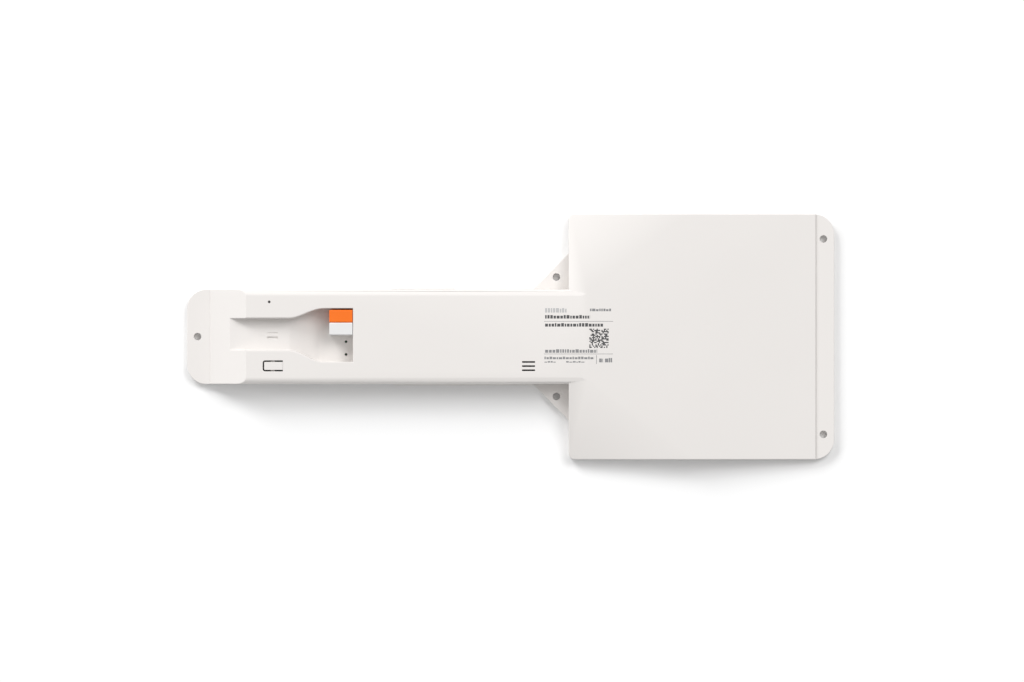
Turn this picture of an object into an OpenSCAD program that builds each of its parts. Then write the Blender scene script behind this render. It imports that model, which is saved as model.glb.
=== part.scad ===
// Battery-powered touch sensor unit that is screwed behind a panel.
// It lies on its mounting face at z = 0. +X runs from the arm to the head, and y = 0 is its centre line.
// The origin is the bottom centre of its bounding box. All sizes are in millimetres.

/* [Body] */
// Length over the left flange and the head
unit_l = 290; // [288:1:294]
// Width of the long arm
arm_w = 42.4; // [42:0.2:44]
// Length of the head
head_l = 119; // [118:1:121]
// Width of the head
head_w = 110; // [106:1:116]
// Height of the arm over the mounting face
unit_h = 16; // [16:0.2:17]
// Thickness of the flange, the gussets and the far strip
flange_t = 3.5; // [3.4:0.1:3.8]
// Wall thickness of the moulded shells
wall = 1.6; // [1.5:0.1:1.7]
// Radius along the top edges of the arm
edge_r = 3; // [2.4:0.1:3.4]
// Length of the left flange in front of the ramp
flange_l = 10; // [9.5:0.5:11]
// Length of the ramp from the flange up to the top
ramp_l = 16.4; // [15:0.2:18]
// Width of the low strip along the far edge of the head
strip_w = 8.2; // [8:0.2:9]

/* [Screw holes] */
// Diameter of the five screw holes
hole_d = 3.3; // [3.1:0.1:3.6]
// Distance from the left end to the flange hole
flange_hole_in = 4.6; // [4:0.1:5.4]
// Distance from the far edge to the two strip holes
strip_hole_in = 4.8; // [4.2:0.1:5]
// Spacing of the two strip holes across the head
strip_hole_gap = 87.6; // [84:0.2:90]
// Spacing of the two gusset holes across the arm
gusset_hole_gap = 53.5; // [53:0.5:56]

/* [Cable trough] */
// Width of the narrow run of the trough
trough_w = 14.1; // [13:0.1:15]
// Width of the terminal pocket at its end
pocket_w = 24; // [23:0.5:24.5]
// Height of the trough floor where cables come in
trough_z = 10.4; // [10:0.2:11]
// Height of the pocket floor under the connector
pocket_z = 5.8; // [5.6:0.1:6]

/* [Supply connector] */
// Pitch of the four terminal positions
pole_pitch = 5.7; // [5.6:0.05:5.75]
// Length of one pole along the arm
pole_l = 10.4; // [10:0.1:10.4]
// Height of one pole
pole_h = 10; // [9.5:0.1:10]
// Diameter of the supply pins
pin_d = 1; // [0.8:0.1:1]

/* [Batteries] */
// Diameter of one AAA cell
cell_d = 10.5; // [10:0.1:10.5]
// Length of one AAA cell over its terminal
cell_l = 44.5; // [44:0.1:44.5]

/* [Hidden] */
$fn = 64;

far = 400;                              // longer than anything, for cutting blocks
eps = 0.01;
x_left = -unit_l / 2;
x_right = unit_l / 2;
x_ramp = x_left + flange_l;             // foot of the ramp, where the cover starts
x_head = x_right - head_l;              // left wall of the head
x_crease = x_head + 8.6;                // where the head starts to slope down
x_cover = x_right - strip_w;            // far end of the cover
y_arm = arm_w / 2;
y_head = head_w / 2;
left_r = 8.5;                           // plan radii of the arm's end, the head's far and near corners
far_r = 9;
near_r = 2.7;

// Planes of the skin: the ramp, the sloping head, and the facets at the head's two near corners
ramp_a = atan((unit_h - flange_t) / ramp_l);
slope_a = atan((unit_h - flange_t - 0.6) / (x_cover - x_crease));
facet_y = 19.4;
crease_run = [46.6, 35.6];              // the crease leaves the arm in this direction
facet_x_rise = 0.1;
facet_y_drop = (facet_x_rise + tan(slope_a)) * crease_run[0] / crease_run[1];
facet_tilt = atan(norm([facet_x_rise, facet_y_drop]));
facet_turn = atan2(-facet_y_drop, -facet_x_rise);

// Gussets that brace the head from the arm
gusset_x = x_head - 16;
gusset_y = y_arm + 16.3;
x_gusset_hole = x_head - 5.5;

// The five screw holes
mount_spots = [[x_left + flange_hole_in, 0],
               [x_gusset_hole, gusset_hole_gap / 2], [x_gusset_hole, -gusset_hole_gap / 2],
               [x_right - strip_hole_in, strip_hole_gap / 2], [x_right - strip_hole_in, -strip_hole_gap / 2]];

// Side bands where the snaps sit, and the pry notch in one of them
band_x = [-54, 10];
band_out = 0.6;
band_top = 11;
notch_x = [-25, -11];

// Tray
floor_t = 1.6;
tray_wall = 1.8;
rib_t = 1;
rib_top = 6;
rib_runs = [[-112, -62], [-44, -28], [-16, 4]];
tab_runs = [[-53, -46], [-26, -18]];
tab_gap = 0.15;
boss_r = 2;
board_z = 2.2;
board_t = 1;
board_top = board_z + board_t;
screw_r = 0.8;
screw_spots = [[-113.7, -15.5], [-113, 10.5], [-63, 15], [-30, -13.5]];

// Trough and pocket, in plan and from the side
trough_y = [-5.9, -5.9 + trough_w];
pocket_y = [-11.3, -11.3 + pocket_w];
x_flare = -99.5;
x_pocket = -83.5;
x_pocket_floor = -86;
x_pocket_end = -70.6;
flare_steps = 16;
grip_x = [-109, -104.4];                // grooves across the trough floor that grip the cable
grip_w = 0.9;
grip_ys = [1.5, -0.4];
grip_depths = [0.3, 0.7];

// Terminal positions, first two filled
pole_y = [9.2, 9.2 - pole_pitch, 9.2 - 2 * pole_pitch, 9.2 - 3 * pole_pitch];
x_pin = -73.8;
x_pole = x_pocket_end - 0.2 - pole_l;
pin_hole_r = 0.6;
pin_pass_r = 0.7;
pin_top = 12.4;
sleeve_r = 1.2;
entry_r = 0.8;

// Learn button, light hole and sound slots
key_x = [-111, -102];
key_half = 2.45;
key_r = 1.1;
key_slot = 0.65;
key_root = 0.05;
nib_x = -108.5;
nib_y = -13.05;
wing_x = [-107.4, -105.6];
light_x = -108.1;
light_y = 15.6;
light_r = 0.6;
sound_x = [5.1, 10.9];
sound_ys = [-11.3, -13.15, -15];
sound_w = 0.7;

// Switch under the button
switch_w = 6;
switch_h = 3.5;
plunger_r = 1.7;
plunger_top = 7.6;

// Cells: two lanes of two
lane_y = [9.6, -1.6];
cell_z = 7.75;
cell_x0 = -52.5;
nub_l = 0.8;
nub_r = 1.9;
cradle_x = [-57, 41];
cradle_y = [-8, 16];
cradle_top = 9;
bay_r = cell_d / 2 + 0.15;
spring_l = 3;
plate_t = 0.5;

// Electrode board and ribbon
electrode_x = [30, 134];
electrode_y = 51;
notch_y = [cradle_y[0] - 0.6, cradle_y[1] + 0.6];
ribbon_y = [-17.5, -9.5];
ribbon_x = [16, 36];
ribbon_t = 0.3;

// ---------- shared shapes ----------

// Block whose top face passes through p, tilted and then turned, and sunk by inset along its normal
module below(p, tilt, turn, inset) {
    translate(p) rotate([0, tilt, turn]) translate([-far, -far, -far - inset]) cube([2 * far, 2 * far, far]);
}

// Rectangle whose left and right pairs of corners have their own radii
module round_rect(x0, x1, half_y, r0, r1) {
    translate([x0 + r0, -half_y]) square([x1 - x0 - r0 - r1, 2 * half_y]);
    translate([x0, -half_y + r0]) square([r0 + eps, 2 * (half_y - r0)]);
    translate([x1 - r1 - eps, -half_y + r1]) square([r1 + eps, 2 * (half_y - r1)]);
    for (s = [-1, 1]) {
        translate([x0 + r0, s * (half_y - r0)]) circle(r0);
        translate([x1 - r1, s * (half_y - r1)]) circle(r1);
    }
}

module head_plan(inset, x1) {
    intersection() {
        round_rect(x_head + inset, x_right, y_head - inset, near_r - inset / 2, far_r);
        translate([x_head, -y_head]) square([x1 - x_head, head_w]);
    }
}

module band_plan() {
    taper = 3;
    for (s = [-1, 1]) difference() {
        polygon([[band_x[0], 0], [band_x[0], s * y_arm], [band_x[0] + taper, s * (y_arm + band_out)],
                 [band_x[1], s * (y_arm + band_out)], [band_x[1], 0]]);
        if (s > 0) translate([notch_x[0], y_arm]) square([notch_x[1] - notch_x[0], 2]);
    }
}

// Bar along X with a rounded top, the form of the arm
module arm_bar(inset, z0) {
    half = y_arm - inset;
    r = edge_r - inset;
    top = unit_h - inset;
    translate([x_ramp, 0, 0]) rotate([90, 0, 90]) linear_extrude(x_crease - x_ramp) {
        translate([-half, z0]) square([2 * half, top - r - z0]);
        translate([-half + r, z0]) square([2 * (half - r), top - z0]);
        for (s = [-1, 1]) translate([s * (half - r), top - r]) circle(r);
    }
}

// Everything under the cover's skin, moved in by inset and reaching down to z0
module cover_form(inset, z0) {
    intersection() {
        arm_bar(inset, z0);
        below([x_ramp, 0, flange_t], -ramp_a, 0, inset);
    }
    intersection() {
        translate([0, 0, z0]) linear_extrude(unit_h - z0) head_plan(inset, x_cover - inset);
        below([x_crease, 0, unit_h], slope_a, 0, inset);
        for_facets(inset);
    }
}

module for_facets(inset) {
    intersection() {
        below([x_crease, -facet_y, unit_h], facet_tilt, facet_turn, inset);
        below([x_crease, facet_y, unit_h], facet_tilt, -facet_turn, inset);
    }
}

// Side line of the trough from the ramp to the pocket's end, eased at both ends of the flare
function trough_side(y0, y1) = concat(
    [[x_ramp, y0]],
    [for (n = [0:flare_steps]) let (t = n / flare_steps)
        [x_flare + (x_pocket - x_flare) * t, y0 + (y1 - y0) * (1 - cos(180 * t)) / 2]]);

// Open space of the trough and pocket, made larger all round by grow
module trough_space(grow) {
    x_end = x_pocket_end + grow;
    upper = trough_side(trough_y[1] + grow, pocket_y[1] + grow);
    lower = trough_side(trough_y[0] - grow, pocket_y[0] - grow);
    intersection() {
        linear_extrude(far) polygon(concat(
            lower, [[x_end, pocket_y[0] - grow], [x_end, pocket_y[1] + grow]],
            [for (n = [len(upper) - 1:-1:0]) upper[n]]));
        translate([0, y_arm, 0]) rotate([90, 0, 0]) linear_extrude(arm_w) polygon([
            [x_ramp, trough_z - grow], [x_flare, trough_z - grow], [x_pocket_floor, pocket_z - grow],
            [x_end, pocket_z - grow], [x_end, far], [x_ramp, far]]);
    }
}

// Recess of the tray, or with gap the largest plan that drops into it
module recess_plan(gap) {
    translate([x_ramp + tray_wall + gap, -y_arm + tray_wall + gap])
        square([x_head - x_ramp + 6, arm_w - 2 * (tray_wall + gap)]);
    translate([x_head + tray_wall + gap, -y_head + tray_wall + gap])
        square([x_cover - x_head - 2 * (tray_wall + gap), head_w - 2 * (tray_wall + gap)]);
}

// Plan of the learn button, round at its free end, smaller by slot all round and by root where it bends
module key_plan(slot, root) {
    intersection() {
        translate([0, nib_y]) round_rect(key_x[0] + slot, key_x[1] + 3, key_half - slot, key_r - slot, 1);
        translate([key_x[0], nib_y - key_half]) square([key_x[1] - key_x[0] - root, 2 * key_half]);
    }
}

module box(x, y, z) {
    translate([x[0], y[0], z[0]]) cube([x[1] - x[0], y[1] - y[0], z[1] - z[0]]);
}

// ---------- shells ----------

module base_tray() {
    color("whitesmoke") difference() {
        union() {
            difference() {
                linear_extrude(flange_t) {
                    round_rect(x_left, x_head + 5, y_arm, left_r, eps);
                    round_rect(x_head, x_right, y_head, near_r, far_r);
                    band_plan();
                    for (s = [-1, 1])
                        polygon([[gusset_x, 0], [gusset_x, s * y_arm], [x_head + 1, s * (gusset_y + 1)],
                                 [x_head + 1, 0]]);
                }
                translate([0, 0, floor_t]) linear_extrude(flange_t) recess_plan(0);
            }
            for (s = [-1, 1], run = rib_runs) {
                y = s * (y_arm - tray_wall - rib_t / 2 + eps);
                box(run, [y - rib_t / 2, y + rib_t / 2], [floor_t - eps, rib_top]);
            }
            for (p = screw_spots)
                translate([p[0], p[1], floor_t - eps]) cylinder(r = boss_r, h = board_z - floor_t + eps);
        }
        for (p = mount_spots) translate([p[0], p[1], -1]) cylinder(d = hole_d, h = flange_t + 2);
        for (p = screw_spots) translate([p[0], p[1], floor_t / 2]) cylinder(r = screw_r + 0.05, h = board_z);
    }
}

module back_cover() {
    skin_z = unit_h - wall;
    low_z = flange_t - 0.8;
    color("whitesmoke") difference() {
        union() {
            difference() {
                union() {
                    cover_form(0, flange_t);
                    intersection() {
                        cover_form(0, low_z);
                        linear_extrude(far) recess_plan(0.2);
                    }
                    translate([0, 0, flange_t]) linear_extrude(band_top - flange_t) band_plan();
                }
                cover_form(wall, 0);
            }
            intersection() {
                trough_space(wall);
                cover_form(0, flange_t);
            }
            for (s = [-1, 1], run = tab_runs) {
                outer = y_arm - tray_wall - tab_gap;
                box(run, s > 0 ? [outer - 1.1, outer] : [-outer, 1.1 - outer], [low_z - 0.3, rib_top + 2]);
                box(run, s > 0 ? [outer - 1.1, outer + 0.6] : [-outer - 0.6, 1.1 - outer],
                    [flange_t + 0.2, rib_top + 2]);
            }
        }
        trough_space(0);
        translate([0, 0, skin_z - 1]) linear_extrude(wall + 2) key_plan(0, 0);
        for (n = [0:1])
            box(grip_x, [grip_ys[n] - grip_w / 2, grip_ys[n] + grip_w / 2], [trough_z - grip_depths[n], far]);
        for (y = sound_ys) box(sound_x, [y - sound_w / 2, y + sound_w / 2], [skin_z - 1, unit_h + 1]);
        translate([light_x, light_y, skin_z - 1]) cylinder(r = light_r, h = wall + 2);
        for (n = [0:3])
            translate([x_pin, pole_y[n], 0]) cylinder(r = n < 2 ? pin_pass_r : pin_hole_r, h = pocket_z + 1);
    }
}

module learn_button() {
    skin_z = unit_h - wall;
    half = key_half - key_slot;
    wing_half = key_half + 0.6;
    wing_z = skin_z - 1.4;
    color("whitesmoke") {
        translate([0, 0, skin_z]) linear_extrude(wall) key_plan(key_slot, key_root);
        box(wing_x, [nib_y - wing_half, nib_y + wing_half], [wing_z, skin_z - 0.1]);
        box(wing_x, [nib_y - half, nib_y + half], [wing_z, skin_z + eps]);
        translate([nib_x, nib_y, plunger_top + 0.02]) cylinder(r = 1, h = skin_z - plunger_top);
    }
}

// ---------- supply connector ----------

module connector_pole(n) {
    bevel = 0.4;
    entry_l = 6.5;
    entry_dy = 1.3;
    entry_zs = [2.7, 6.7];
    sleeve_l = 7;
    half = pole_pitch / 2 - 0.02;
    difference() {
        translate([x_pole, pole_y[n], pocket_z]) rotate([90, 0, 90]) linear_extrude(pole_l) polygon([
            [-half, 0], [half, 0], [half, pole_h - bevel], [half - bevel, pole_h],
            [-half + bevel, pole_h], [-half, pole_h - bevel]]);
        translate([x_pin, pole_y[n], pocket_z - 1]) cylinder(r = sleeve_r, h = sleeve_l + 1);
        for (dy = [-entry_dy, entry_dy], z = entry_zs)
            translate([x_pole - 1, pole_y[n] + dy, pocket_z + z]) rotate([0, 90, 0])
                cylinder(r = entry_r, h = entry_l);
    }
}

module connector_orange() {
    color("darkorange") connector_pole(0);
}

module connector_white() {
    color("gainsboro") connector_pole(1);
}

module connector_contacts() {
    color("goldenrod") for (n = [0, 1]) translate([x_pin, pole_y[n], pocket_z + 0.4]) difference() {
        cylinder(r = sleeve_r, h = 6.5);
        translate([0, 0, -1]) cylinder(r = pin_d / 2 + 0.15, h = 9);
    }
}

module supply_pins() {
    color("goldenrod") for (n = [0, 1]) translate([x_pin, pole_y[n], board_top]) {
        cylinder(d = 2 * pin_d, h = 0.5);
        cylinder(d = pin_d, h = pin_top - board_top);
    }
}

// ---------- electronics ----------

module main_board() {
    x0 = -116;
    x_wide = -60;
    x_tail = 24;
    color("darkgreen") difference() {
        translate([0, 0, board_z]) linear_extrude(board_t)
            polygon([[x0, -18], [x_tail, -18], [x_tail, -8.6], [x_wide, -8.6], [x_wide, 18], [x0, 18]]);
        for (p = screw_spots) translate([p[0], p[1], 0]) cylinder(r = screw_r + 0.2, h = far);
    }
}

module board_screws() {
    color("silver") for (p = screw_spots) translate([p[0], p[1], 0]) {
        translate([0, 0, floor_t / 2 + 0.05]) cylinder(r = screw_r, h = board_top - floor_t / 2);
        translate([0, 0, board_top]) difference() {
            cylinder(r = 1.9, h = 1.2);
            for (a = [0, 90]) rotate(a) translate([-1.2, -0.2, 0.6]) cube([2.4, 0.4, 1]);
        }
    }
}

module tact_switch_body() {
    color("dimgray") difference() {
        translate([nib_x - switch_w / 2, nib_y - switch_w / 2, board_top])
            cube([switch_w, switch_w, switch_h]);
        translate([nib_x, nib_y, board_top + 2.3]) cylinder(r = plunger_r + 0.1, h = switch_h);
    }
}

module tact_switch_plunger() {
    foot = board_top + 2.7;
    color("black") translate([nib_x, nib_y, foot]) cylinder(r = plunger_r, h = plunger_top - foot);
}

module status_led() {
    color("white") translate([light_x - 0.8, light_y - 0.4, board_top]) cube([1.6, 0.8, 0.7]);
}

module light_pipe() {
    top = unit_h - wall;
    color("lightcyan") translate([light_x, light_y, 0]) {
        translate([0, 0, board_top + 0.9]) cylinder(r = 1, h = top - board_top - 0.9);
        translate([0, 0, top - 1.2]) cylinder(r = 1.8, h = 1.2);
    }
}

module radio_module() {
    x = [-106, -92];
    half = 6;
    rim = 0.6;
    plate = 0.6;
    color("silver") {
        box(x, [-half, half], [board_top, board_top + plate]);
        box([x[0] + rim, x[1] - rim], [rim - half, half - rim], [board_top + plate - 0.1, board_top + 2]);
    }
}

module antenna() {
    x = [-97, -75];
    sheet_y = [16.4, 16.9];
    arm_z = 3.4;
    arm_h = 2.4;
    foot_w = 1.2;
    color("goldenrod") {
        box(x, sheet_y, [board_top + arm_z, board_top + arm_z + arm_h]);
        for (dx = [0, 6]) box([x[0] + dx, x[0] + dx + foot_w], sheet_y, [board_top, board_top + arm_z + 0.6]);
    }
}

module controller_chip() {
    side = 7;
    color("black") translate([-52, -17, board_top]) cube([side, side, 1]);
}

module bulk_capacitor() {
    can_h = 6.6;
    color("dimgray") translate([-64, -3, board_top]) {
        cylinder(r = 3.15, h = can_h);
        translate([0, 0, can_h]) cylinder(r = 2.7, h = 0.3);
    }
}

module sounder() {
    side = 8.5;
    high = 4;
    port_r = 1.2;
    color("black") translate([(sound_x[0] + sound_x[1]) / 2, sound_ys[1], board_top]) difference() {
        translate([-side / 2, -side / 2, 0]) cube([side, side, high]);
        translate([0, 0, high / 2]) cylinder(r = port_r, h = high);
    }
}

module electrode_board() {
    color("darkgreen") difference() {
        box(electrode_x, [-electrode_y, electrode_y], [floor_t, floor_t + 1]);
        box([electrode_x[0] - 1, cradle_x[1] + 0.6], notch_y, [0, far]);
    }
}

module ribbon_sockets() {
    socket_l = 3.5;
    socket_h = 1.2;
    color("ivory") {
        box([ribbon_x[0] - socket_l, ribbon_x[0]], ribbon_y, [board_top, board_top + socket_h]);
        box([ribbon_x[1], ribbon_x[1] + socket_l], ribbon_y, [floor_t + 1, floor_t + 1 + socket_h]);
    }
}

module board_ribbon() {
    entry = 0.4;
    bend_x = [24.6, 30];
    z0 = board_top + entry;
    z1 = floor_t + 1 + entry;
    color("lightgray") translate([0, ribbon_y[1] - 1, 0]) rotate([90, 0, 0])
        linear_extrude(ribbon_y[1] - ribbon_y[0] - 2)
            polygon([[ribbon_x[0], z0], [bend_x[0], z0], [bend_x[1], z1], [ribbon_x[1], z1],
                     [ribbon_x[1], z1 + ribbon_t], [bend_x[1], z1 + ribbon_t],
                     [bend_x[0], z0 + ribbon_t], [ribbon_x[0], z0 + ribbon_t]]);
}

module foam_strips() {
    x = [112, 118];
    y = [8, 46];
    thick = 2;
    color("dimgray") for (s = [-1, 1])
        box(x, s > 0 ? y : [-y[1], -y[0]], [floor_t + 1, floor_t + 1 + thick]);
}

// ---------- batteries ----------

module battery_cradle() {
    color("whitesmoke") difference() {
        box(cradle_x, cradle_y, [floor_t, cradle_top]);
        for (y = lane_y) translate([cradle_x[0] + 1, y, cell_z]) rotate([0, 90, 0])
            cylinder(r = bay_r, h = cradle_x[1] - cradle_x[0] - 2);
    }
}

// One cell from x0, with its raised terminal towards +X, or towards -X when flipped
module cell(x0, y, flipped) {
    body_l = cell_l - nub_l;
    translate([x0, y, cell_z]) rotate([0, 90, 0]) {
        translate([0, 0, flipped ? nub_l : 0]) cylinder(d = cell_d, h = body_l);
        translate([0, 0, flipped ? 0 : body_l - eps]) cylinder(r = nub_r, h = nub_l + eps);
    }
}

module battery_cell_1() {
    color("gray") cell(cell_x0, lane_y[0], false);
}

module battery_cell_2() {
    color("gray") cell(cell_x0 + cell_l, lane_y[0], false);
}

module battery_cell_3() {
    color("gray") cell(cell_x0, lane_y[1], true);
}

module battery_cell_4() {
    color("gray") cell(cell_x0 + cell_l, lane_y[1], true);
}

// Conical coil standing on its base plate, drawn as touching rings
module coil(dir) {
    rings = 5;
    wire_r = 0.35;
    base_r = 3.4;
    taper = 0.45;
    plate = [6, 7.2];
    step = (spring_l - plate_t - 2 * wire_r) / (rings - 1);
    rotate([0, dir * 90, 0]) {
        translate([-plate[0] / 2, -plate[1] / 2, 0]) cube([plate[0], plate[1], plate_t]);
        for (n = [0:rings - 1]) translate([0, 0, plate_t + wire_r - eps + n * step])
            rotate_extrude() translate([base_r - n * taper, 0]) circle(wire_r, $fn = 24);
    }
}

module spring_contacts() {
    color("silver") {
        translate([cell_x0 - spring_l, lane_y[0], cell_z]) coil(1);
        translate([cell_x0 + 2 * cell_l + spring_l, lane_y[1], cell_z]) coil(-1);
    }
}

module plate_contacts() {
    half = 2.6;
    span_z = [cell_z - half, cell_z + half];
    x_end = cell_x0 + 2 * cell_l;
    color("silver") {
        box([x_end, x_end + plate_t], [lane_y[0] - half, lane_y[0] + half], span_z);
        box([x_end, x_end + spring_l - 0.5], [lane_y[0] - half, lane_y[0] - half + 0.5], span_z);
        box([cell_x0 - plate_t, cell_x0], [lane_y[1] - half, lane_y[1] + half], span_z);
        box([cell_x0 - spring_l, cell_x0], [lane_y[1] - half, lane_y[1] - half + 0.5], span_z);
    }
}

module contact_link() {
    x_end = cell_x0 + 2 * cell_l + spring_l;
    color("silver")
        box([x_end, x_end + plate_t], [lane_y[1] - 3, lane_y[0] + 3], [cradle_top, cradle_top + 1.4]);
}

base_tray();
back_cover();
learn_button();
connector_orange();
connector_white();
connector_contacts();
supply_pins();
main_board();
board_screws();
tact_switch_body();
tact_switch_plunger();
status_led();
light_pipe();
radio_module();
antenna();
controller_chip();
bulk_capacitor();
sounder();
electrode_board();
ribbon_sockets();
board_ribbon();
foam_strips();
battery_cradle();
battery_cell_1();
battery_cell_2();
battery_cell_3();
battery_cell_4();
spring_contacts();
plate_contacts();
contact_link();
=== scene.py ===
from math import cos, pi, radians, sin, tan
import random

import bmesh
import bpy
from mathutils import Matrix, Vector


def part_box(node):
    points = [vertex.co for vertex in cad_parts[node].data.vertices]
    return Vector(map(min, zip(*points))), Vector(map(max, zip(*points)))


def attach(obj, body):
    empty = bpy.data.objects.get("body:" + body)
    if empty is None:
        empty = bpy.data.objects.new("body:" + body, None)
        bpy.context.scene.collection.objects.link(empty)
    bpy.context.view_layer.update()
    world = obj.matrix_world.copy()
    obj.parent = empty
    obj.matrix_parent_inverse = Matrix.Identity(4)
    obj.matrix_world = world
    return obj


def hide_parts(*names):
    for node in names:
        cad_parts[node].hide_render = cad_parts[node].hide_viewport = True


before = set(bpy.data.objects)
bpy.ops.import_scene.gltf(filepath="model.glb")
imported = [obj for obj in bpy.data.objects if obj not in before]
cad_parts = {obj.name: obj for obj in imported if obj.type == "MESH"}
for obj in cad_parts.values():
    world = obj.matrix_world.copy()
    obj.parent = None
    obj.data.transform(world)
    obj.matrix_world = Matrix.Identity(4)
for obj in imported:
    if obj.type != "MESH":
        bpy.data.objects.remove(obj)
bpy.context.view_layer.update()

MM = 0.001


# ---------------------------------------------------------------- base tray
# The flat lower shell: a shallow open tray with the end flange, the two gussets and the far strip that the
# five screws go through. Injection moulded in warm white ABS with a fine spark-eroded skin.

class Wire:
    """One output of a finish's nodes; sums written on it add Math nodes."""

    def __init__(self, finish, socket):
        self.finish, self.socket = finish, socket

    def sum(self, operation, first, second):
        return self.finish.node("ShaderNodeMath", {"operation": operation}, {0: first, 1: second})

    def __add__(self, other): return self.sum("ADD", self, other)
    def __radd__(self, other): return self.sum("ADD", other, self)
    def __sub__(self, other): return self.sum("SUBTRACT", self, other)
    def __rsub__(self, other): return self.sum("SUBTRACT", other, self)
    def __mul__(self, other): return self.sum("MULTIPLY", self, other)
    def __rmul__(self, other): return self.sum("MULTIPLY", other, self)
    def __truediv__(self, other): return self.sum("DIVIDE", self, other)
    def __mod__(self, other): return self.sum("FLOORED_MODULO", self, other)
    def __gt__(self, other): return self.sum("GREATER_THAN", self, other)
    def __lt__(self, other): return self.sum("LESS_THAN", self, other)

    def over(self, other):
        return self.sum("MAXIMUM", self, other)


class Finish:
    """A material: one principled shader, with what changes over the surface wired to it."""

    def __init__(self, name, **even):
        self.material = bpy.data.materials.new(name)
        self.material.use_nodes = True
        self.tree = self.material.node_tree
        self.shader = self.tree.nodes["Principled BSDF"]
        for socket, value in even.items():
            self.shader.inputs[socket.replace("_", " ")].default_value = value
        self.place = self.node("ShaderNodeTexCoord", {}, {}, "Object")

    def node(self, kind, settings, inputs, output=0):
        made = self.tree.nodes.new(kind)
        for setting, value in settings.items():
            setattr(made, setting, value)
        for socket, value in inputs.items():
            if isinstance(value, Wire):
                self.tree.links.new(value.socket, made.inputs[socket])
            else:
                made.inputs[socket].default_value = value
        return Wire(self, made.outputs[output])

    def wear(self, **varied):
        """Wires what changes over the surface to the shader's own sockets."""
        for socket, wire in varied.items():
            self.tree.links.new(wire.socket, self.shader.inputs[socket.replace("_", " ")])
        return self.material

    def noise(self, waves_per_mm, detail=2.0, stretch=(1, 1, 1)):
        spot = self.node("ShaderNodeMapping", {}, {"Vector": self.place, "Scale": stretch})
        return self.node("ShaderNodeTexNoise", {},
                         {"Vector": spot, "Scale": waves_per_mm / MM, "Detail": detail})

    def blend(self, share, first, second):
        """Colour between first and second."""
        return self.node("ShaderNodeMix", {"data_type": "RGBA"}, {0: share, 6: first, 7: second}, 2)

    def ramp(self, wire, low, high, to_low=0.0, to_high=1.0):
        """A value's range from low to high, stretched to another range and held there."""
        return self.node("ShaderNodeMapRange", {"interpolation_type": "SMOOTHSTEP"},
                         {0: wire, 1: low, 2: high, 3: to_low, 4: to_high})

    def axis(self, name):
        """One coordinate of the place on the surface, in millimetres."""
        return self.node("ShaderNodeSeparateXYZ", {}, {0: self.place}, name) / MM

    def bumps(self, height, depth_mm):
        return self.node("ShaderNodeBump", {},
                         {"Height": height, "Distance": depth_mm * MM, "Strength": 1.0})


def tint(colour, scale=1.0):
    return (*(min(1.0, part * scale) for part in colour), 1.0)


def shell_finish(name, colour, sinks=()):
    """Moulded ABS: an even fine grain, faint clouds, rubbed patches, and shallow sinks over thick spots."""
    finish = Finish(name, IOR=1.49)
    cloud = finish.noise(0.02, 3)
    rub = finish.ramp(finish.noise(0.35, 4, (1, 0.35, 1)), 0.56, 0.72)
    height = (finish.noise(3.2) + finish.noise(1.1, 1) * 0.5) * 0.12
    for x, y, z in sinks:
        away = finish.node("ShaderNodeVectorMath", {"operation": "DISTANCE"},
                           {0: finish.place, 1: (x * MM, y * MM, z * MM)}, "Value")
        height = height + finish.ramp(away, 0.4 * MM, 1.6 * MM)
    return finish.wear(Base_Color=finish.blend(cloud, tint(colour, 0.985), tint(colour, 1.015)),
                       Roughness=0.46 + 0.06 * cloud - 0.07 * rub,
                       Normal=finish.bumps(height, 0.02))


def piece(name, shape, body, slot, *materials, smooth=True):
    """Finishes a shape drawn in millimetres as a named object that rides on a body."""
    bmesh.ops.scale(shape, verts=shape.verts, vec=(MM, MM, MM))
    for face in shape.faces:
        face.smooth = smooth
    mesh = bpy.data.meshes.new(name)
    shape.to_mesh(mesh)
    shape.free()
    for material in materials:
        mesh.materials.append(material)
    thing = bpy.data.objects.new(name, mesh)
    bpy.context.scene.collection.objects.link(thing)
    if smooth:
        even = thing.modifiers.new("even shading", "WEIGHTED_NORMAL")
        even.weight = 90
    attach(thing, body)
    return thing


def joined(node):
    """A CAD node's loose triangles, copied, joined into clean faces and brought to millimetres."""
    shape = bmesh.new()
    shape.from_mesh(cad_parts[node].data)
    bmesh.ops.scale(shape, verts=shape.verts, vec=(1 / MM, 1 / MM, 1 / MM))
    bmesh.ops.remove_doubles(shape, verts=shape.verts, dist=0.001)
    bmesh.ops.dissolve_limit(shape, angle_limit=radians(0.5), verts=shape.verts, edges=shape.edges)
    for face in shape.faces:
        face.material_index = 0
    return shape


sharp_angle = radians(28)
room_share = 0.4


def room(edge):
    """How far the narrower of the two faces beside an edge reaches away from it, in millimetres."""
    foot = edge.verts[0].co
    along = (edge.verts[1].co - foot).normalized()
    return min(max((v.co - foot).cross(along).length for v in face.verts) for face in edge.link_faces)


def moulded(name, node, body, slot, material, radius, largest, segments=2):
    """A CAD node with each sharp edge rounded by radius(middle, length), standing in for the node."""
    shape = joined(node)
    share = shape.edges.layers.float.new("bevel_weight_edge")
    for edge in shape.edges:
        if edge.calc_face_angle(0) > sharp_angle:
            wanted = radius((edge.verts[0].co + edge.verts[1].co) / 2, edge.calc_length())
            edge[share] = min(wanted, room_share * room(edge)) / largest
    thing = piece(name, shape, body, slot, material)
    rounding = thing.modifiers.new("edge radius", "BEVEL")
    rounding.limit_method = "WEIGHT"
    rounding.width = largest * MM
    rounding.segments = segments
    rounding.profile = 0.5
    rounding.use_clamp_overlap = False
    rounding.loop_slide = False
    thing.modifiers.move(1, 0)
    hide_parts(node)
    return thing


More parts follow.
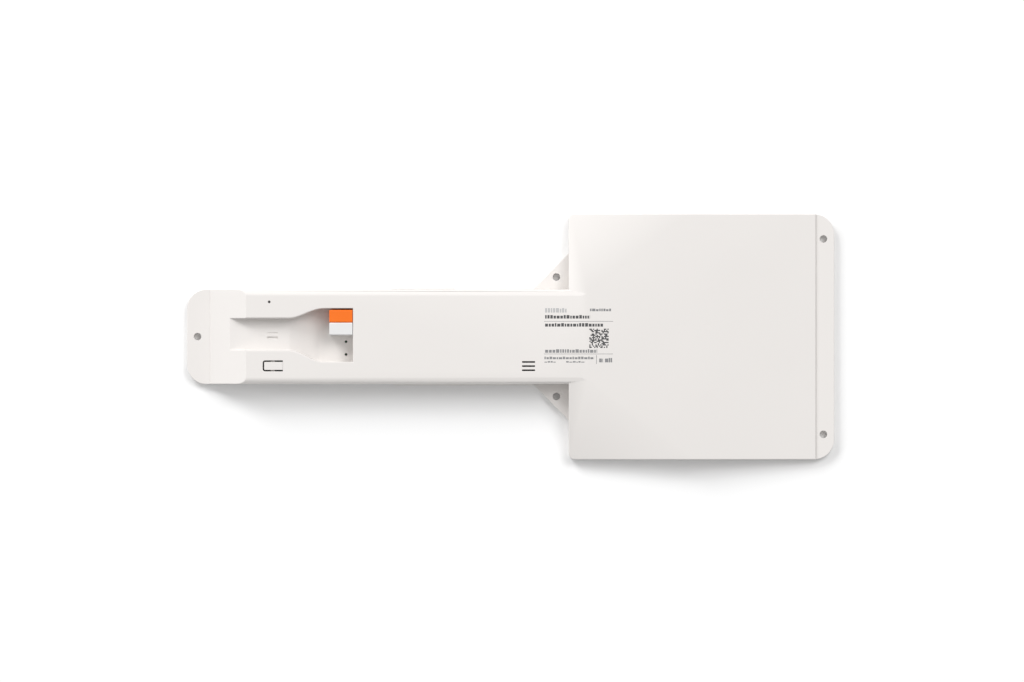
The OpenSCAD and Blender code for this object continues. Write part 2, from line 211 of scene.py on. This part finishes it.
def rounded(name, node, body, slot, material, edge, segments=2):
    """A CAD node with all its sharp edges rounded alike."""
    return moulded(name, node, body, slot, material, lambda middle, length: edge, edge, segments)


shell_white = (0.735, 0.708, 0.686)
tray_edge = 0.2
rounded("tray_shell", "base_tray", "base", "shell", shell_finish("tray plastic", shell_white), tray_edge)


# ---------------------------------------------------------------- main circuit board
# A one millimetre glass-epoxy board with green solder mask, rows of tracks and plated holes. Four small
# screws hold it on the tray's bosses.

def board_finish(name, copper):
    """Green solder mask; copper, a share drawn by the caller, shows through it paler and a little raised."""
    finish = Finish(name, IOR=1.5, Coat_Weight=0.3, Coat_Roughness=0.15)
    laid = copper(finish)
    weave = finish.noise(2.4, 2)
    mask = finish.blend(laid, (0.012, 0.085, 0.035, 1), (0.03, 0.17, 0.07, 1))
    return finish.wear(Base_Color=finish.blend(weave * 0.25, mask, (0.05, 0.16, 0.09, 1)),
                       Roughness=0.3 + 0.15 * weave, Normal=finish.bumps(laid + weave * 0.15, 0.03))


def tracks(finish):
    """Rows and columns of copper tracks, with round pads between them."""
    x, y = finish.axis("X"), finish.axis("Y")
    lane = 1.3
    row = ((y % lane) < 0.3) * (finish.noise(0.16, 1, (1, 5, 1)) > 0.47)
    column = ((x % (3 * lane)) < 0.3) * (finish.noise(0.16, 1, (5, 1, 1)) > 0.55)
    hole = finish.node("ShaderNodeTexVoronoi", {}, {"Vector": finish.place, "Scale": 0.33 / MM}) < 0.16
    return row.over(column).over(hole)


def dress(node, material):
    """Gives a CAD node that stays its finish."""
    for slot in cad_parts[node].material_slots:
        slot.material = material


dress("main_board", board_finish("solder mask", tracks))


# ---------------------------------------------------------------- small board parts
# Ceramic capacitors, chip resistors, a crystal and a choke, reflowed in rows between the large parts. Each
# has tinned ends on its own pads.

def span(node):
    """Lowest and highest corner of a CAD node, in millimetres."""
    low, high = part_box(node)
    return low / MM, high / MM


def block(x, y, z, radius=0.0):
    """A block between two coordinates each way, with its edges rounded."""
    shape = bmesh.new()
    low, high = Vector((x[0], y[0], z[0])), Vector((x[1], y[1], z[1]))
    size = high - low
    bmesh.ops.create_cube(shape, size=1, matrix=Matrix.Translation((low + high) / 2)
                          @ Matrix.Diagonal((*size, 1)))
    if radius:
        bmesh.ops.bevel(shape, geom=shape.edges[:], offset=radius, segments=2, profile=0.5, affect="EDGES",
                        material=-1)
    return shape


def turned(outline, at, toward=(0, 0, 1), steps=32):
    """A closed form turned from an outline of radius and height, standing at a point along a direction."""
    shape = bmesh.new()
    if outline[0] != outline[-1]:
        outline = [(0, outline[0][1]), *outline, (0, outline[-1][1])]
    points = [shape.verts.new((radius, 0, high)) for radius, high in outline]
    lines = [shape.edges.new(pair) for pair in zip(points, points[1:])]
    bmesh.ops.spin(shape, geom=points + lines, cent=(0, 0, 0), axis=(0, 0, 1), angle=2 * pi, steps=steps,
                   use_merge=True)
    bmesh.ops.remove_doubles(shape, verts=shape.verts, dist=0.0005)
    bmesh.ops.recalc_face_normals(shape, faces=shape.faces)
    turn = Vector((0, 0, 1)).rotation_difference(Vector(toward)).to_matrix().to_4x4()
    bmesh.ops.transform(shape, verts=shape.verts, matrix=Matrix.Translation(at) @ turn)
    return shape


def gather(shape, part, finish=0):
    """Adds a part to a shape, in the shape's nth finish."""
    for face in part.faces:
        face.material_index = finish
    holder = bpy.data.meshes.new("part")
    part.to_mesh(holder)
    part.free()
    shape.from_mesh(holder)
    bpy.data.meshes.remove(holder)


def plastic(name, colour, gloss=0.4, grain_depth=0.01):
    """Plain moulded plastic with a cloudy gloss and a fine skin."""
    finish = Finish(name, IOR=1.5)
    cloud = finish.noise(0.15, 3)
    return finish.wear(Base_Color=finish.blend(cloud, tint(colour, 0.94), tint(colour)),
                       Roughness=gloss + 0.12 * (cloud - 0.5),
                       Normal=finish.bumps(finish.noise(1.8, 3), grain_depth))


def metal(name, colour, gloss, brushed=(1, 1, 1)):
    """Rolled or plated metal: drawn streaks, and duller, darker patches where it has been handled."""
    finish = Finish(name, Metallic=1.0)
    streak = finish.noise(2.5, 3, brushed)
    stain = finish.ramp(finish.noise(0.3, 4), 0.5, 0.75)
    return finish.wear(Base_Color=finish.blend(stain, tint(colour), tint(colour, 0.8)),
                       Roughness=gloss + 0.15 * streak + 0.12 * stain, Normal=finish.bumps(streak, 0.006))


tin = metal("tinned end", (0.72, 0.71, 0.69), 0.25)
black = plastic("black resin", (0.02, 0.02, 0.022), 0.42)
board_top = span("main_board")[1].z
rows = random.Random(3)
part_fields = ((-89, -70, -16.5, -10), (-89, -78, 11.2, 15.2), (-42, -33, -16.6, -10), (-26, 2, -16.6, -10))
filled_share, row_pitch, column_pitch = 0.6, 2.0, 2.9
small = bmesh.new()
for x0, x1, y0, y1 in part_fields:
    x = x0
    while x < x1:
        y = y0
        while y < y1:
            if rows.random() < filled_share:
                kind, high = rows.choice(((1, 0.45), (2, 0.8), (2, 0.6)))
                gather(small, block((x, x + 1.6), (y, y + 0.8), (board_top, board_top + high), 0.06), 0)
                gather(small, block((x + 0.3, x + 1.3), (y - 0.01, y + 0.81),
                                    (board_top, board_top + high + 0.02), 0.05), kind)
            y += row_pitch
        x += column_pitch
gather(small, block((-75.5, -70.5), (11.8, 15), (board_top, board_top + 1.1), 0.25), 0)
gather(small, block((-90.5, -86.5), (-9.3, -5.3), (board_top, board_top + 1.9), 0.3), 1)
gather(small, turned([(0, 2), (1.1, 2), (1.25, 1.85), (1.25, 0)], (-88.5, -7.3, board_top)), 0)
piece("board_small_parts", small, "base", "circuit_board", tin, black,
      plastic("fired ceramic", (0.33, 0.2, 0.11), 0.5))

screws = metal("zinc-plated steel", (0.62, 0.62, 0.64), 0.3)
rounded("board_screw_set", "board_screws", "base", "screw_steel", screws, 0.06)


# ---------------------------------------------------------------- tactile switch
# A six millimetre through-hole switch: a black base, a stamped steel lid with four staked corners, and a
# black nylon plunger. The learn button's nib stands over it.

low, high = span("tact_switch_body")
rounded("switch_base", "tact_switch_body", "base", "black_plastic", black, 0.12)
centre = (low + high) / 2
lid = bmesh.new()
lid_top = high.z + 0.16
opening_r, lid_half = 1.95, 2.85
stake, foot_reach = 2.25, 3.2
gather(lid, turned([(opening_r, high.z), (lid_half - 0.3, high.z), (lid_half, high.z + 0.03),
                    (lid_half, lid_top - 0.05), (lid_half - 0.05, lid_top), (opening_r, lid_top),
                    (opening_r, high.z)],
                   (centre.x, centre.y, 0), steps=40))
for dx in (-stake, stake):
    for dy in (-stake, stake):
        gather(lid, turned([(0, 0.3), (0.28, 0.26), (0.42, 0.12), (0.45, 0)],
                           (centre.x + dx, centre.y + dy, high.z), steps=16))
    for dy in (-stake, stake):
        foot = centre.x + (foot_reach if dx > 0 else -foot_reach)
        gather(lid, block((foot - 0.15, foot + 0.15), (centre.y + dy - 0.35, centre.y + dy + 0.35),
                          (board_top, board_top + 1.6), 0.05))
steel = metal("stamped steel", (0.66, 0.65, 0.63), 0.22, (1, 8, 1))
piece("switch_lid", lid, "base", "shield_steel", steel)
rounded("switch_plunger", "tact_switch_plunger", "switch_plunger", "black_plastic", black, 0.2)


# ---------------------------------------------------------------- status light
# A white surface-mount lamp with a yellow phosphor window and tinned ends, under its own clear light pipe.

low, high = span("status_led")
lamp_body = bmesh.new()
gather(lamp_body, block((low.x + 0.25, high.x - 0.25), (low.y, high.y), (low.z, high.z - 0.05), 0.06), 0)
for x in ((low.x, low.x + 0.3), (high.x - 0.3, high.x)):
    gather(lamp_body, block(x, (low.y + 0.02, high.y - 0.02), (low.z, low.z + 0.35), 0.05), 2)
gather(lamp_body, turned([(0, 0.12), (0.18, 0.1), (0.29, 0.04), (0.31, -0.1)],
                         ((low.x + high.x) / 2, (low.y + high.y) / 2, high.z - 0.13), steps=24), 1)
lamp_piece = piece("status_lamp", lamp_body, "base", "led_white",
                   plastic("white resin", (0.72, 0.72, 0.7), 0.35),
                   plastic("phosphor", (0.8, 0.62, 0.12), 0.5), tin)
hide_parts("status_led")


# ---------------------------------------------------------------- radio module, antenna and chip
# The radio is a small green board with castellated edges under a drawn steel can. A stamped brass antenna
# stands beside it, and the controller is a flat black package with tinned edge pads.

low, high = span("radio_module")
radio = bmesh.new()
deck = low.z + 0.6
gather(radio, block((low.x, high.x), (low.y, high.y), (low.z, deck), 0.03), 0)
gather(radio, block((low.x + 0.6, high.x - 0.6), (low.y + 0.6, high.y - 0.6), (deck - 0.05, high.z), 0.3), 1)
for n in range(9):
    x = low.x + 1.4 + n * 1.4
    for y in ((low.y, low.y + 0.5), (high.y - 0.5, high.y)):
        gather(radio, block((x - 0.35, x + 0.35), y, (low.z, deck + 0.03), 0.04), 2)
    # Every second step puts a near-black disc on the can's top: painted shade standing for a vent hole.
    if n % 2:
        gather(radio, turned([(0, 0.0), (0.35, 0.0), (0.45, -0.05)], (x, 0, high.z - 0.001), steps=20), 3)
radio_piece = piece("radio_can", radio, "base", "shield_steel", board_finish("radio mask", tracks),
                    metal("drawn steel can", (0.68, 0.67, 0.65), 0.28, (6, 1, 1)), tin,
                    plastic("painted vent hole shade", (0.03, 0.03, 0.03)))
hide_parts("radio_module")

brass = metal("rolled brass", (0.83, 0.62, 0.27), 0.24, (1, 1, 7))
rounded("antenna_strip", "antenna", "base", "contact_brass", brass, 0.08)

low, high = span("controller_chip")
chip = bmesh.new()
inset, pads, pad_pitch, pad_half = 0.05, 12, 0.5, 0.13
gather(chip, block((low.x + inset, high.x - inset), (low.y + inset, high.y - inset),
                   (low.z + inset, high.z), 0.1), 0)
gather(chip, turned([(0, 0.004), (0.35, 0.004), (0.38, -0.01)], (low.x + 1, high.y - 1, high.z), steps=20), 2)
for n in range(pads):
    d = 0.75 + n * pad_pitch
    for x in ((low.x, low.x + 0.4), (high.x - 0.4, high.x)):
        gather(chip, block(x, (low.y + d - pad_half, low.y + d + pad_half), (low.z, low.z + 0.22), 0.03), 1)
    for y in ((low.y, low.y + 0.4), (high.y - 0.4, high.y)):
        gather(chip, block((low.x + d - pad_half, low.x + d + pad_half), y, (low.z, low.z + 0.22), 0.03), 1)
chip_piece = piece("controller_package", chip, "base", "black_plastic", black, tin,
                   plastic("polished resin", (0.035, 0.035, 0.037), 0.2))
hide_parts("controller_chip")


# ---------------------------------------------------------------- capacitor and sounder
# The capacitor is an aluminium can in a shrunk sleeve, scored on top as a vent. The sounder is a square
# black box with a round port under the cover's three slots.

low, high = span("bulk_capacitor")
centre = (low + high) / 2
can_r = (high.x - low.x) / 2
can_h = high.z - low.z
can = bmesh.new()
gather(can, turned([(0, 0), (can_r - 0.2, 0), (can_r, 0.2), (can_r, 1.1), (can_r - 0.25, 1.35), (can_r, 1.6),
                    (can_r, can_h - 0.35), (can_r - 0.15, can_h - 0.1), (can_r - 0.55, can_h - 0.05)],
                   (centre.x, centre.y, low.z), steps=48), 0)
gather(can, turned([(0, can_h - 0.12), (can_r - 0.75, can_h - 0.12), (can_r - 0.6, can_h),
                    (can_r - 0.45, can_h - 0.08), (can_r - 0.45, can_h - 0.3)],
                   (centre.x, centre.y, low.z), steps=48), 1)
# The two scores are thin dark grey strips on the top: painted shade standing for the grooves.
for angle in (20, 110):
    score = block((-1.6, 1.6), (-0.09, 0.09), (-0.02, 0.02), 0.015)
    bmesh.ops.transform(score, verts=score.verts,
                        matrix=Matrix.Translation((centre.x, centre.y, high.z - 0.12))
                        @ Matrix.Rotation(radians(angle), 4, "Z"))
    gather(can, score, 2)
can_piece = piece("capacitor_can", can, "base", "capacitor_can",
                  plastic("shrunk sleeve", (0.03, 0.04, 0.09), 0.3),
                  metal("bare aluminium", (0.8, 0.8, 0.8), 0.3),
                  plastic("painted score groove shade", (0.12, 0.12, 0.12)))
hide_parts("bulk_capacitor")
rounded("sounder_box", "sounder", "base", "black_plastic", black, 0.25)


# ---------------------------------------------------------------- supply pins
# Two brass pins soldered to the board, which stand up through the cover's floor into the supply connector.

low, high = span("supply_pins")
pins = bmesh.new()
pin_r = 0.5
pin_l = high.z - low.z
for y in (low.y + 2 * pin_r, high.y - 2 * pin_r):
    gather(pins, turned([(0, pin_l), (pin_r - 0.25, pin_l - 0.03), (pin_r, pin_l - 0.7), (pin_r, 0)],
                        ((low.x + high.x) / 2, y, low.z)), 0)
    gather(pins, turned([(pin_r, 0.5), (pin_r + 0.12, 0.28), (2 * pin_r - 0.1, 0.07), (2 * pin_r, 0)],
                        ((low.x + high.x) / 2, y, low.z)), 1)
pin_piece = piece("supply_pin_pair", pins, "base", "contact_brass", brass, tin)
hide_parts("supply_pins")


# ---------------------------------------------------------------- touch electrode board
# A thin board in the head that carries the copper fields sensed through the panel. Foam strips under the
# cover press it down, and a flat ribbon joins it to the main board through two small sockets.

def fields(finish):
    """Square copper fields, hatched at a slant, with a narrow gap between them."""
    x, y = finish.axis("X"), finish.axis("Y")
    pitch, gap = 13.0, 0.5
    solid = ((x % pitch) > gap) * ((y % pitch) > gap)
    hatch = (((x + y) % 1.4) < 0.35).over(((x - y) % 1.4) < 0.35)
    return solid * (0.45 + 0.55 * hatch)


dress("electrode_board", board_finish("electrode mask", fields))

ivory = plastic("ivory nylon", (0.62, 0.56, 0.42), 0.4)
rounded("ribbon_socket_pair", "ribbon_sockets", "base", "socket_plastic", ivory, 0.15)
low, high = span("ribbon_sockets")
latch = bmesh.new()
socket_l = 3.5
for x, z in ((low.x, high.z), (high.x - socket_l, low.z + 1.2)):
    gather(latch, block((x + 1.2, x + 2.3), (low.y + 0.4, high.y - 0.4), (z - 0.1, z + 0.25), 0.1), 0)
    for n in range(11):
        y = low.y + 1.5 + n * 0.5
        gather(latch, block((x + 0.3, x + 1.0), (y - 0.1, y + 0.1), (z - 0.1, z + 0.06), 0.02), 1)
piece("ribbon_latches", latch, "base", "socket_plastic",
      plastic("brown latch", (0.11, 0.06, 0.04), 0.35), tin)

film = Finish("ribbon film", IOR=1.6, Coat_Weight=0.4, Coat_Roughness=0.2)
conductor = (film.axis("Y") % 0.5) < 0.3
crease = film.noise(0.4, 3, (1, 0.1, 1))
film_material = film.wear(Base_Color=film.blend(conductor, (0.55, 0.52, 0.45, 1), (0.36, 0.33, 0.3, 1)),
                          Roughness=0.35 + 0.15 * crease, Normal=film.bumps(conductor + crease * 0.5, 0.03))
rounded("flat_ribbon", "board_ribbon", "base", "ribbon_film", film_material, 0.09)

foam = Finish("open foam", IOR=1.4)
cell_edge = foam.node("ShaderNodeTexVoronoi", {}, {"Vector": foam.place, "Scale": 1.9 / MM})
pore_hollow_and_shade = foam.ramp(cell_edge, 0.15, 0.6)
# The pores are sunk by the bump and painted darker towards their middles: painted shade in the hollows.
foam_material = foam.wear(Base_Color=foam.blend(pore_hollow_and_shade, (0.02, 0.02, 0.022, 1), (0.09, 0.09, 0.095, 1)),
                          Roughness=0.8 + 0.15 * pore_hollow_and_shade, Normal=foam.bumps(pore_hollow_and_shade, 0.25))
rounded("foam_pads", "foam_strips", "base", "foam", foam_material, 0.45, 3)


# ---------------------------------------------------------------- battery cradle and contacts
# An open moulded cradle holds two lanes of cells. Each lane ends in a nickel-plated coil spring on a plate at
# one side and a flat plate at the other, and a strip across the end joins the two lanes.

rounded("cell_cradle", "battery_cradle", "base", "cradle_plastic",
        plastic("cradle nylon", (0.5, 0.51, 0.52), 0.45, 0.02), 0.2)
nickel = metal("nickel-plated steel", (0.7, 0.68, 0.64), 0.2)
rounded("flat_contact_pair", "plate_contacts", "base", "contact_steel", nickel, 0.1)
rounded("lane_link", "contact_link", "base", "contact_steel", nickel, 0.1)

low, high = span("spring_contacts")
wire_r, wide_r, narrow_r, plate_t = 0.35, 3.3, 1.7, 0.5
reach, coils, steps = 3.0, 4, 28
lane_low, lane_high = (span(f"battery_cell_{n}") for n in (3, 1))
springs = bmesh.new()
for lane, end, toward in ((lane_high, low.x, 1), (lane_low, high.x, -1)):
    middle = (lane[0] + lane[1]) / 2
    coil = bmesh.new()
    upright = Matrix.Translation((wide_r, 0, 0)) @ Matrix.Rotation(pi / 2, 4, "X")
    ring = bmesh.ops.create_circle(coil, segments=10, radius=wire_r, cap_ends=False, matrix=upright)["verts"]
    length = reach - plate_t - 2 * wire_r
    rise = length / (coils * steps)
    bmesh.ops.spin(coil, geom=ring + list({edge for v in ring for edge in v.link_edges}), cent=(0, 0, 0),
                   axis=(0, 0, 1), dvec=(0, 0, rise), angle=2 * pi * coils, steps=coils * steps)
    for vertex in coil.verts:
        radius = Vector((vertex.co.x, vertex.co.y)).length
        shift = (wide_r - narrow_r) * max(0.0, min(1.0, vertex.co.z / length))
        vertex.co.x *= (radius - shift) / radius
        vertex.co.y *= (radius - shift) / radius
    bmesh.ops.holes_fill(coil, edges=[edge for edge in coil.edges if edge.is_boundary], sides=12)
    bmesh.ops.recalc_face_normals(coil, faces=coil.faces)
    place = Matrix.Translation((end + toward * (plate_t + wire_r), middle.y, middle.z)) @ Matrix.Rotation(
        toward * pi / 2, 4, "Y")
    bmesh.ops.transform(coil, verts=coil.verts, matrix=place)
    gather(springs, coil)
    x = sorted((end, end + toward * plate_t))
    gather(springs, block(x, (middle.y - 3.6, middle.y + 3.6), (middle.z - 3, middle.z + 3), 0.12))
spring_piece = piece("coil_contact_pair", springs, "base", "contact_steel", nickel)
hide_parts("spring_contacts")


# ---------------------------------------------------------------- cells
# Four alkaline AAA cells in printed shrink sleeves: a drawn steel can, its crimped shoulder, a pressed cap on
# the positive end and a paper-thin insulating washer round it.

def jacket(name, plus_x, toward):
    """A sleeve with a copper band at the positive end, a pale line, then dark grey."""
    finish = Finish(name, IOR=1.5, Coat_Weight=0.6, Coat_Roughness=0.12)
    back = (plus_x - finish.axis("X")) * toward
    band, line_w = 13.0, 0.8
    scuff = finish.ramp(finish.noise(0.5, 4, (0.3, 1, 1)), 0.6, 0.7)
    base = finish.blend(back < band, (0.03, 0.032, 0.036, 1), (0.52, 0.23, 0.08, 1))
    line = (back > band) * (back < band + line_w)
    colour = finish.blend(line, base, (0.6, 0.6, 0.58, 1))
    return finish.wear(Base_Color=finish.blend(scuff * 0.3, colour, (0.35, 0.34, 0.33, 1)),
                       Roughness=0.28 + 0.2 * scuff, Normal=finish.bumps(finish.noise(0.25, 2), 0.03))


cap_steel = metal("cap steel", (0.72, 0.7, 0.67), 0.18)
washer = plastic("insulating washer", (0.5, 0.5, 0.47), 0.5)
for n, toward in ((1, 1), (2, 1), (3, -1), (4, -1)):
    low, high = span(f"battery_cell_{n}")
    cell_r = (high.z - low.z) / 2
    cell_l = high.x - low.x
    can_l = cell_l - 0.8
    start = low.x if toward > 0 else high.x
    at = (start, (low.y + high.y) / 2, (low.z + high.z) / 2)
    cell = bmesh.new()
    gather(cell, turned([(cell_r - 1.1, 0.12), (cell_r - 0.7, 0.02), (cell_r - 0.25, 0.1), (cell_r, 0.5),
                         (cell_r, can_l - 0.5), (cell_r - 0.2, can_l - 0.1), (cell_r - 0.9, can_l),
                         (cell_r - 1.2, can_l - 0.15)], at, (toward, 0, 0), 48), 0)
    gather(cell, turned([(0, 0), (cell_r - 1.5, 0), (cell_r - 1.2, 0.15), (cell_r - 0.9, 0.15)],
                        at, (toward, 0, 0), 48), 1)
    gather(cell, turned([(cell_r - 0.9, can_l - 0.12), (2.3, can_l - 0.12)], at, (toward, 0, 0), 48), 2)
    gather(cell, turned([(2.5, can_l - 0.15), (2.2, can_l - 0.05), (1.95, can_l), (1.9, cell_l - 0.25),
                         (1.7, cell_l - 0.05), (1.4, cell_l), (0, cell_l)], at, (toward, 0, 0), 40), 1)
    cell_piece = piece(f"cell_{n}", cell, "base", "cell_jacket",
                       jacket(f"cell sleeve {n}", high.x if toward > 0 else low.x, toward), cap_steel, washer)
    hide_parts(f"battery_cell_{n}")


# ---------------------------------------------------------------- light pipe
# A turned rod of clear acrylic, held by its collar under the cover's small round hole above the status light.

acrylic = Finish("clear acrylic", IOR=1.49, Transmission_Weight=0.85)
haze = acrylic.noise(0.8, 3)
rounded("light_rod", "light_pipe", "cover", "clear_plastic",
        acrylic.wear(Base_Color=acrylic.blend(haze, (0.9, 0.93, 0.94, 1), (0.96, 0.97, 0.97, 1)),
                     Roughness=0.06 + 0.1 * haze), 0.15)


# ---------------------------------------------------------------- learn button
# A sprung tongue of the cover with a short nib under it that reaches the switch on the board. It is moulded
# with the cover, in the same plastic, and bends at its right-hand root.

rounded("button_tongue", "learn_button", "learn_key", "shell",
        shell_finish("button plastic", shell_white), 0.1)


# ---------------------------------------------------------------- back cover
# The upper shell: ramp, long arm with the cable trough and terminal pocket, and the head that slopes to the
# far end with a facet at each near corner. It snaps over the tray and is moulded in the same warm white ABS.

outer_edge, inner_edge, trough_edge = 0.35, 0.1, 0.7
fine_zones = [((-112.5, -100.5), (-17, -9)), ((-110, -103.5), (-1.5, 3)), ((4, 12), (-16, -10)),
              ((-109, -107), (14.5, 16.7)), ((-75, -72.5), (-9, 10.5))]


tray_top = 3.4
trough_start, trough_end, trough_y = -117, -84, 1.1
start_fade, end_fade = 6, 9


def cover_radius(middle, length):
    """Small in the fine slots and at the tray's joint, and growing along the trough's upper edges."""
    x, y, z = middle
    if z < tray_top or any(xs[0] < x < xs[1] and ys[0] < y < ys[1] for xs, ys in fine_zones):
        return inner_edge
    if trough_start < x < trough_end and z > 15.9 and 5 < abs(y - trough_y) < 13:
        inward = min(1, (trough_end - x) / end_fade, (x - trough_start) / start_fade)
        return outer_edge + (trough_edge - outer_edge) * inward
    return outer_edge


sinks = [(75, 4.8, 11.3), (88.4, 5.3, 9.7), (85.7, -11.7, 10), (49.9, 31.3, 14.1), (103.2, 42, 8),
         (118, -36.8, 6.3)]
cover = moulded("cover_shell", "back_cover", "cover", "shell",
                shell_finish("cover plastic", shell_white, sinks), cover_radius, trough_edge, 3)
# The flat top stands a little low, to leave room for the film of ink.
skin_top = (16 - 0.015) * MM
for vertex in cover.data.vertices:
    vertex.co.z = min(vertex.co.z, skin_top)


# ---------------------------------------------------------------- printed legend
# The grey rating legend that is pad printed on the cover where the arm meets the head. Words are greeked as
# plain bars, and the square is a random check pattern that encodes nothing.

crease_x, slope = 34.6, tan(radians(6.645))
ink_film = 0.012


def skin_z(x):
    return min(16.0, 16.0 - slope * (x - crease_x) + ink_film)


def ink_bar(shape, x0, x1, y0, y1, tone):
    """One bar of ink, bent where the arm's top meets the slope."""
    bar = block((x0, x1), (y0, y1), (-0.5, 0.5))
    if x0 < crease_x < x1:
        bmesh.ops.bisect_plane(bar, geom=bar.verts[:] + bar.edges[:] + bar.faces[:],
                               plane_co=(crease_x, 0, 0), plane_no=(1, 0, 0))
    for vertex in bar.verts:
        vertex.co.z = skin_z(vertex.co.x) - (0 if vertex.co.z > 0 else 0.03)
    gather(shape, bar, tone)


def ink(name, colour):
    finish = Finish(name, IOR=1.5)
    speckle = finish.noise(4, 2)
    thin = finish.ramp(speckle, 0.35, 0.65)
    return finish.wear(Base_Color=finish.blend(thin, tint(colour), tint(colour, 1.35)),
                       Roughness=0.55 + 0.1 * speckle)


legend = bmesh.new()
words = random.Random(7)
dark, mid, pale = 0, 1, 2
for x0, x1, y0, y1, tone, gap in (
        (15.4, 25.2, 10.7, 12.9, pale, 0.35), (35.5, 44.9, 11.3, 12.7, mid, 0.3),
        (15.4, 35.5, 8.0, 9.8, dark, 0.35), (15.4, 41.3, 4.4, 6.2, dark, 0.35),
        (15.4, 38.7, -7.3, -5.5, mid, 0.35), (15.1, 37.3, -10.2, -8.8, mid, 0.3),
        (15.1, 20.3, -11.7, -10.8, mid, 0.25), (24.8, 33.3, -11.7, -10.8, mid, 0.25),
        (39.6, 41.3, -11.6, -9.4, mid, 0.2), (42.2, 45.4, -11.6, -9.4, mid, 0.2)):
    x = x0
    while x < x1:
        end = min(x1, x + words.uniform(0.6, 1.5))
        ink_bar(legend, x, end, y0 + 0.15, y1 - words.choice((0.1, 0.35)), tone)
        x = end + gap
rule_half = 0.09
for y in (6.9, -7.7):
    ink_bar(legend, 14.9, 45.8, y - rule_half, y + rule_half, mid)
ink_bar(legend, 38.3, 38.5, -12.2, -8.2, mid)
checks, check, inked_share = 16, 0.54, 0.52
for row in range(checks):
    for column in range(checks):
        if words.random() < inked_share:
            x, y = 35.2 + column * check, -5.0 + row * check
            ink_bar(legend, x, x + check, y, y + check, dark)
piece("legend_print", legend, "cover", None, ink("dark ink", (0.06, 0.06, 0.062)),
      ink("grey ink", (0.2, 0.2, 0.205)), ink("pale ink", (0.4, 0.4, 0.4)), smooth=False)


# ---------------------------------------------------------------- supply connector
# Two push-wire poles, orange and light grey, that plug down onto the supply pins. Each is a nylon block with
# round wire entries facing the trough, moulded over a brass contact.

corner_edge, rim_edge, corner_l = 0.6, 0.15, 8
pole_low = span("connector_orange")[0]


def pole_radius(middle, length):
    upright = middle.x - pole_low.x < 0.01 and length > corner_l
    return corner_edge if upright else rim_edge


for pole, colour in (("orange", (0.87, 0.162, 0.004)), ("white", (0.75, 0.745, 0.745))):
    moulded(f"{pole}_pole", f"connector_{pole}", "supply_connector", f"{pole}_pole",
            plastic(f"{pole} nylon", colour, 0.38), pole_radius, corner_edge, 4)
rounded("pole_contacts", "connector_contacts", "supply_connector", "contact_brass", brass, 0.08)


# ---------------------------------------------------------------- table and light
# The unit lies face down on a matt white table in an evenly lit white room. Three square soft lights stand
# round it: two on its far side, left and right, and a weaker one at its left end.

lamp_distance = 4


def lamp(name, around, above, size, power):
    """A square soft light, aimed at the unit from its angles around it and above the table."""
    light = bpy.data.lights.new(name, "AREA")
    light.shape = "SQUARE"
    light.size = size
    light.energy = power
    thing = bpy.data.objects.new(name, light)
    bpy.context.scene.collection.objects.link(thing)
    a, e = radians(around), radians(above)
    thing.location = lamp_distance * Vector((cos(a) * cos(e), sin(a) * cos(e), sin(e)))
    thing.rotation_euler = (-thing.location).to_track_quat("-Z", "Y").to_euler()


table = bmesh.new()
bmesh.ops.create_grid(table, x_segments=1, y_segments=1, size=6)
bmesh.ops.translate(table, verts=table.verts, vec=(0, 0, -0.05 * MM))
table_mesh = bpy.data.meshes.new("table")
table.to_mesh(table_mesh)
table.free()
paint = Finish("table white", Specular_IOR_Level=0.1)
paint_colour = paint.blend(paint.noise(0.01), (0.9, 0.9, 0.9, 1), (0.915, 0.915, 0.915, 1))
table_mesh.materials.append(paint.wear(Base_Color=paint_colour, Roughness=0.75 + 0.1 * paint.noise(0.05)))
floor = bpy.data.objects.new("table", table_mesh)
bpy.context.scene.collection.objects.link(floor)

lamp("right_light", 48, 52, 2.1, 74)
lamp("key_light", 127, 34, 1.65, 86)
lamp("left_light", 178, 27, 1.5, 30)

world = bpy.data.worlds.new("room")
world.use_nodes = True
world.node_tree.nodes["Background"].inputs["Color"].default_value = (1, 1, 1, 1)
world.node_tree.nodes["Background"].inputs["Strength"].default_value = 0.45
bpy.context.scene.world = world
bpy.context.scene.view_settings.view_transform = "Standard"

height = 8.0
mid_height = 8 * MM
view_width = 0.4588
camera = bpy.data.cameras.new("camera")
camera.sensor_width = 36
camera.lens = camera.sensor_width * (height - mid_height) / view_width
eye = bpy.data.objects.new("camera", camera)
bpy.context.scene.collection.objects.link(eye)
eye.location = (0.58 * MM, -1.9 * MM, height)
bpy.context.scene.camera = eye
